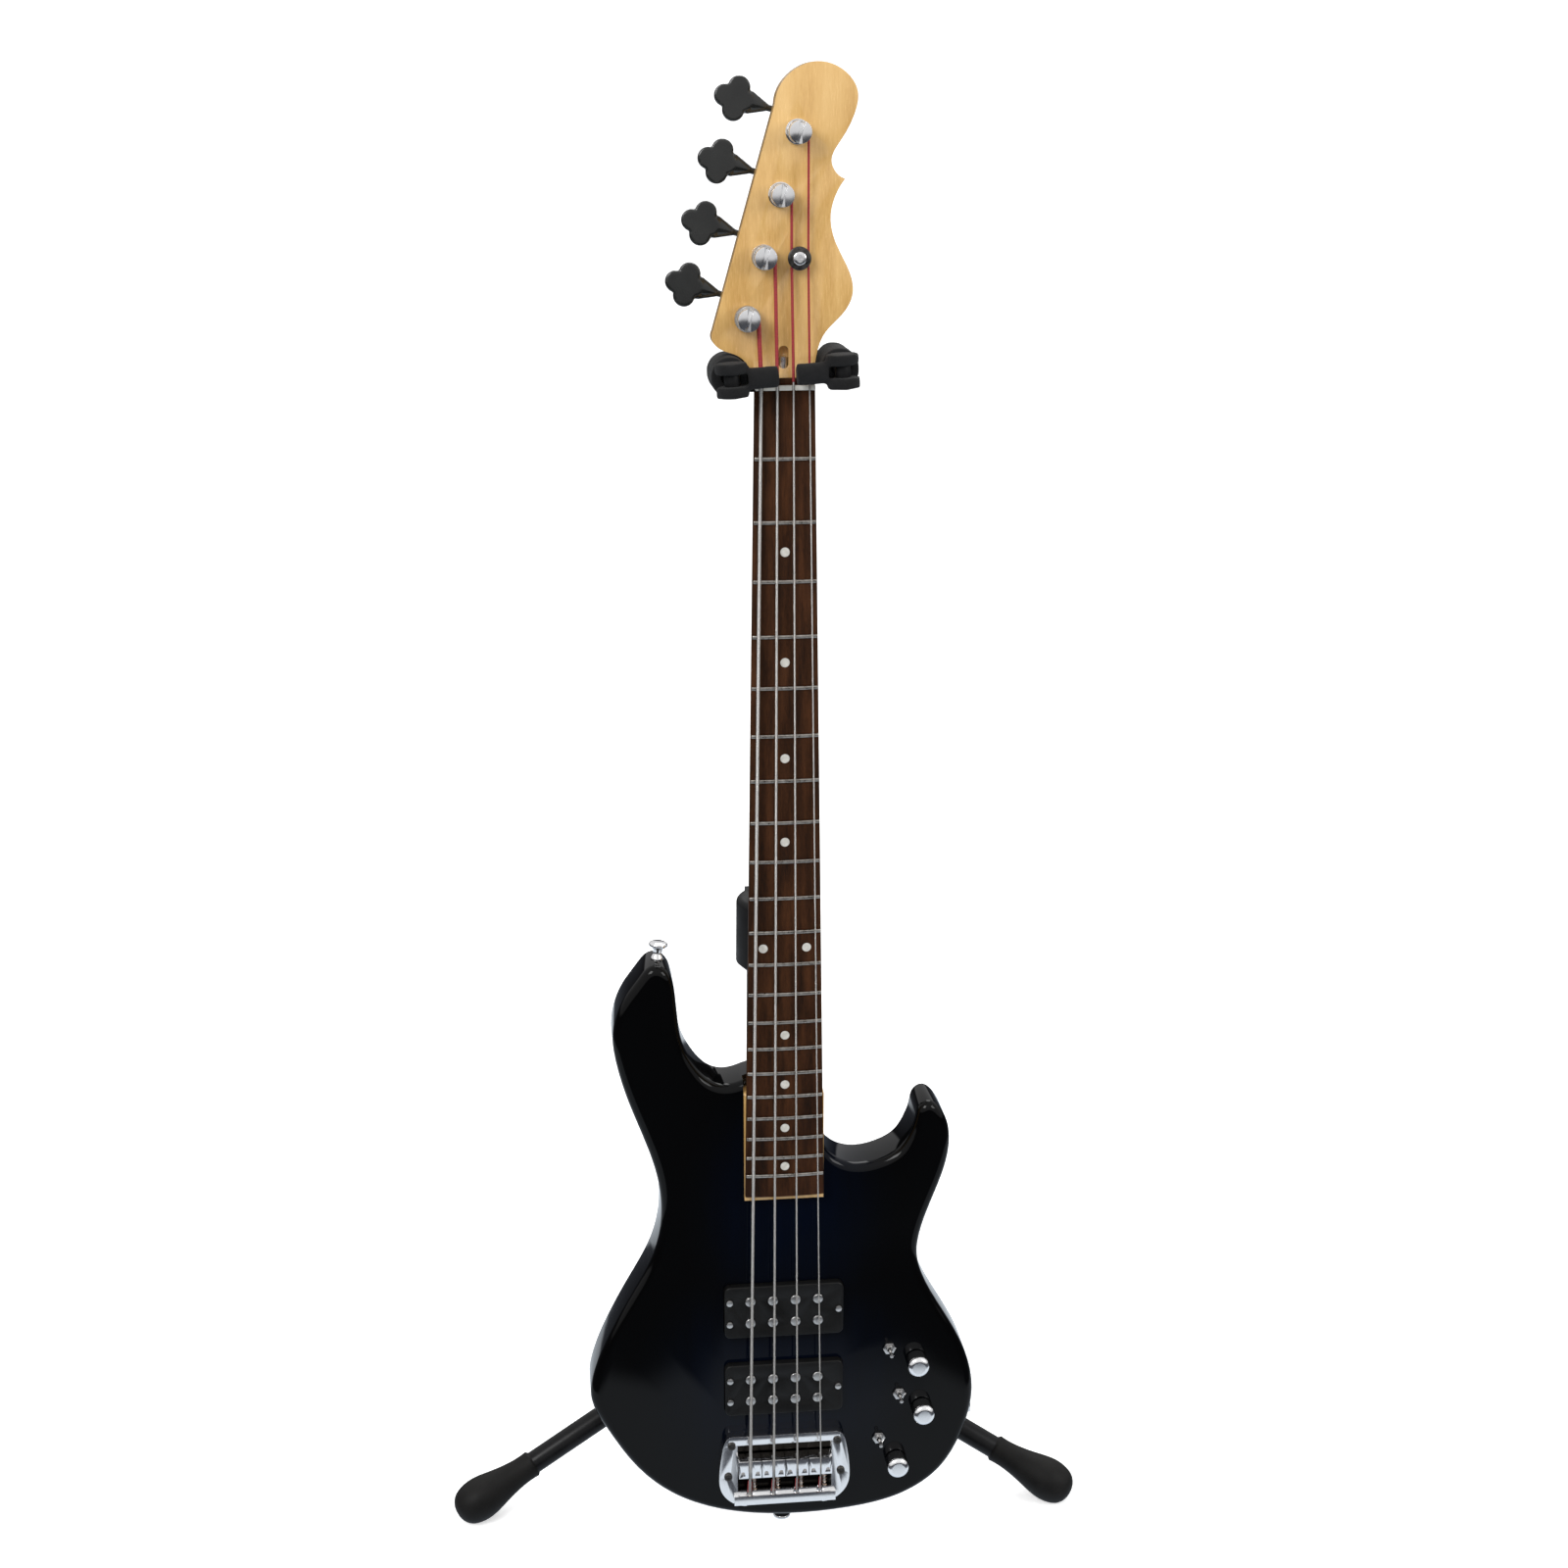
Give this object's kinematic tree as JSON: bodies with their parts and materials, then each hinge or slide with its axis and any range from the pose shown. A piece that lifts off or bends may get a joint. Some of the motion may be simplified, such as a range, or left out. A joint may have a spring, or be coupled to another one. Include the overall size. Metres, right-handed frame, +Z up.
{
  "type": "bass guitar on stand",
  "caption": "Solid-body electric bass guitar hanging by its headstock in a padded yoke on a height-adjustable folding tripod stand.",
  "frame": {"origin": "on the floor, under the middle of the whole object", "axes": "+Z up along the mast, +X to the viewer's right as the guitar is faced, the guitar's face looks towards -Y"},
  "size_m": [0.5334, 0.4899, 1.1983],
  "materials": {
    "burst_lacquer": "deep gloss",
    "maple": "gloss",
    "rosewood": "satin",
    "fret_silver": "polished",
    "pearl": "gloss",
    "bone": "satin",
    "steel": "bright",
    "chrome": "mirror",
    "black_key": "satin",
    "black_plastic": "satin",
    "dark_screw": "satin",
    "copper_coil": "satin",
    "board_green": "satin",
    "stand_black": "satin powder coat",
    "stand_plastic": "fine texture",
    "foam": "matte foam",
    "foot_rubber": "matte"
  },
  "bodies": {
    "base": {"leg_hub": "stand_plastic", "leg_pins": "steel", "lower_tube": "stand_black", "clutch_body": "stand_plastic", "backrest_bar": "stand_black", "backrest_pads": "foam"},
    "leg_left_set": {"leg_left": "stand_black", "foot_left": "foot_rubber"},
    "leg_right_set": {"leg_right": "stand_black", "foot_right": "foot_rubber"},
    "leg_rear_set": {"leg_rear": "stand_black", "foot_rear": "foot_rubber"},
    "squeeze_lever": {"clutch_lever": "stand_plastic"},
    "mast": {"upper_tube": "stand_black", "yoke_mount": "stand_plastic"},
    "yoke": {"yoke_frame": "stand_plastic", "yoke_pads": "foam"},
    "left_gate": {"gate_left": "foam"},
    "right_gate": {"gate_right": "foam"},
    "guitar": {"body": "burst_lacquer", "neck": "maple", "fingerboard": "rosewood", "frets": "fret_silver", "fret_dots": "pearl", "nut": "bone", "truss_rod": "steel", "neck_plate": "chrome", "neck_bolts": "chrome", "tuner_housings": "chrome", "small_screws": "steel", "string_retainer": "dark_screw", "strings": "steel", "pickup_covers": "black_plastic", "pickup_coils": "copper_coil", "pickup_poles": "steel", "bridge_plate": "chrome", "bridge_saddles": "chrome", "saddle_screws": "steel", "bridge_screws": "dark_screw", "toggle_bodies": "steel", "potentiometers": "steel", "control_cover": "black_plastic", "battery": "black_plastic", "circuit_board": "board_green", "output_jack": "chrome", "strap_buttons": "chrome"},
    "volume_knob_body": {"volume_knob": "chrome"},
    "treble_knob_body": {"treble_knob": "chrome"},
    "bass_knob_body": {"bass_knob": "chrome"},
    "pickup_toggle_body": {"pickup_toggle_lever": "steel"},
    "coil_toggle_body": {"coil_toggle_lever": "steel"},
    "preamp_toggle_body": {"preamp_toggle_lever": "steel"},
    "post_1": {"tuner_post_1": "chrome"},
    "key_1": {"tuner_key_1": "black_key"},
    "post_2": {"tuner_post_2": "chrome"},
    "key_2": {"tuner_key_2": "black_key"},
    "post_3": {"tuner_post_3": "chrome"},
    "key_3": {"tuner_key_3": "black_key"},
    "post_4": {"tuner_post_4": "chrome"},
    "key_4": {"tuner_key_4": "black_key"}
  },
  "joints": [
    {"name": "leg_left_fold", "type": "hinge", "parent": "base", "child": "leg_left_set", "pos_m": [-0.03205, -0.05235, 0.118], "axis": [0.3338, -0.9426, 0], "range_deg": [0, 68]},
    {"name": "leg_right_fold", "type": "hinge", "parent": "base", "child": "leg_right_set", "pos_m": [0.03094, -0.0551, 0.118], "axis": [0.4147, 0.91, 0], "range_deg": [0, 68]},
    {"name": "leg_rear_fold", "type": "hinge", "parent": "base", "child": "leg_rear_set", "pos_m": [0.00148, -0.00703, 0.118], "axis": [-0.999, 0.0436, 0], "range_deg": [0, 68]},
    {"name": "clutch_squeeze", "type": "hinge", "parent": "base", "child": "squeeze_lever", "pos_m": [0, -0.0115, 0.521], "axis": [-1, 0, 0], "range_deg": [0, 6], "stiffness_Nm_per_rad": 2, "springref_deg": -8.59},
    {"name": "mast_height", "type": "slide", "parent": "base", "child": "mast", "axis": [0, 0, 1], "range_m": [0, 0.12]},
    {"name": "yoke_swivel", "type": "hinge", "parent": "mast", "child": "yoke", "pos_m": [0, -0.06712, 0.98209], "axis": [0, -0.9945, 0.1045], "range_deg": [-8, 8]},
    {"name": "gate_left_swing", "type": "hinge", "parent": "yoke", "child": "left_gate", "pos_m": [-0.03891, -0.16188, 0.98932], "axis": [0.0698, -0.1043, -0.9921], "range_deg": [0, 90]},
    {"name": "gate_right_swing", "type": "hinge", "parent": "yoke", "child": "right_gate", "pos_m": [0.03891, -0.16131, 0.99473], "axis": [-0.0698, 0.1043, 0.9921], "range_deg": [0, 90]},
    {"name": "guitar_lift", "type": "slide", "parent": "yoke", "child": "guitar", "axis": [0, 0.1045, 0.9945], "range_m": [0, 0.06]},
    {"name": "volume_turn", "type": "hinge", "parent": "guitar", "child": "volume_knob_body", "pos_m": [0.108, -0.22559, 0.20138], "axis": [0, -0.9945, 0.1045], "range_deg": [-150, 150]},
    {"name": "treble_turn", "type": "hinge", "parent": "guitar", "child": "treble_knob_body", "pos_m": [0.113, -0.23019, 0.15762], "axis": [0, -0.9945, 0.1045], "range_deg": [-150, 150]},
    {"name": "bass_turn", "type": "hinge", "parent": "guitar", "child": "bass_knob_body", "pos_m": [0.0925, -0.23511, 0.11088], "axis": [0, -0.9945, 0.1045], "range_deg": [-150, 150]},
    {"name": "pickup_toggle_flip", "type": "hinge", "parent": "guitar", "child": "pickup_toggle_body", "pos_m": [0.0857, -0.21738, 0.21258], "axis": [1, 0, 0], "range_deg": [-13, 13]},
    {"name": "coil_toggle_flip", "type": "hinge", "parent": "guitar", "child": "coil_toggle_body", "pos_m": [0.0943, -0.22171, 0.17131], "axis": [1, 0, 0], "range_deg": [-13, 13]},
    {"name": "preamp_toggle_flip", "type": "hinge", "parent": "guitar", "child": "preamp_toggle_body", "pos_m": [0.078, -0.22584, 0.13203], "axis": [1, 0, 0], "range_deg": [-13, 13]},
    {"name": "key_1_turn", "type": "hinge", "parent": "guitar", "child": "key_1", "pos_m": [-0.02337, -0.10895, 1.03377], "axis": [-0.9621, 0.0285, 0.2711], "range_deg": [-180, 180]},
    {"name": "post_1_turn", "type": "hinge", "parent": "guitar", "child": "post_1", "pos_m": [-0.0261, -0.13084, 1.02639], "axis": [0, -0.9945, 0.1045], "range_deg": [-13, 13]},
    {"name": "key_2_turn", "type": "hinge", "parent": "guitar", "child": "key_2", "pos_m": [-0.01144, -0.10454, 1.07564], "axis": [-0.9621, 0.0285, 0.2711], "range_deg": [-180, 180]},
    {"name": "post_2_turn", "type": "hinge", "parent": "guitar", "child": "post_2", "pos_m": [-0.01417, -0.12644, 1.06826], "axis": [0, -0.9945, 0.1045], "range_deg": [-13, 13]},
    {"name": "key_3_turn", "type": "hinge", "parent": "guitar", "child": "key_3", "pos_m": [0.00049, -0.10014, 1.11751], "axis": [-0.9621, 0.0285, 0.2711], "range_deg": [-180, 180]},
    {"name": "post_3_turn", "type": "hinge", "parent": "guitar", "child": "post_3", "pos_m": [-0.00224, -0.12204, 1.11013], "axis": [0, -0.9945, 0.1045], "range_deg": [-13, 13]},
    {"name": "key_4_turn", "type": "hinge", "parent": "guitar", "child": "key_4", "pos_m": [0.01242, -0.09574, 1.15938], "axis": [-0.9621, 0.0285, 0.2711], "range_deg": [-180, 180]},
    {"name": "post_4_turn", "type": "hinge", "parent": "guitar", "child": "post_4", "pos_m": [0.00969, -0.11763, 1.152], "axis": [0, -0.9945, 0.1045], "range_deg": [-13, 13]}
  ],
  "couplings": [
    {"joint": "gate_left_swing", "follows": "guitar_lift", "rad_per_m": 26.167},
    {"joint": "gate_right_swing", "follows": "guitar_lift", "rad_per_m": 26.167},
    {"joint": "post_1_turn", "follows": "key_1_turn", "ratio": 0.071429},
    {"joint": "post_2_turn", "follows": "key_2_turn", "ratio": 0.071429},
    {"joint": "post_3_turn", "follows": "key_3_turn", "ratio": 0.071429},
    {"joint": "post_4_turn", "follows": "key_4_turn", "ratio": 0.071429}
  ]
}
